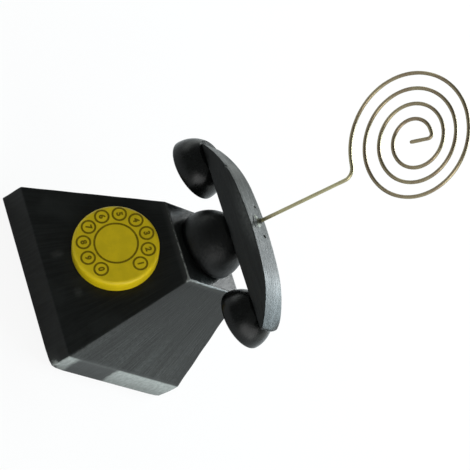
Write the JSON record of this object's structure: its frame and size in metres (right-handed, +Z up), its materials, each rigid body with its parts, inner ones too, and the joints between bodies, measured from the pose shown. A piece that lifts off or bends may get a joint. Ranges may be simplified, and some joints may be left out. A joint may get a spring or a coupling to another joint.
{
  "type": "memo holder",
  "caption": "Wooden memo holder shaped like a small desk telephone, with a round dial and a flat wire spiral that holds notes between its turns.",
  "frame": {"origin": "middle of the block's base, on the surface it stands on", "axes": "+Z up, the dial faces -Y, +X to the right of someone who faces the dial"},
  "size_m": [0.0741, 0.058, 0.1398],
  "materials": {
    "black_wood": "black stain under satin varnish",
    "yellow_dial": "yellow paint with a printed dial, satin",
    "bare_wood": "bare",
    "nail_steel": "dull",
    "brass_wire": "satin, slightly tarnished",
    "dried_glue": "clear glue dried glossy"
  },
  "bodies": {
    "root": {"body": "black_wood", "dial_disc": "yellow_dial", "neck": "black_wood", "neck_dowel": "bare_wood", "handset": "black_wood", "ear_knob": "black_wood", "mouth_knob": "black_wood", "handset_nails": "nail_steel", "memo_wire": "brass_wire", "wire_glue": "dried_glue"}
  },
  "joints": []
}
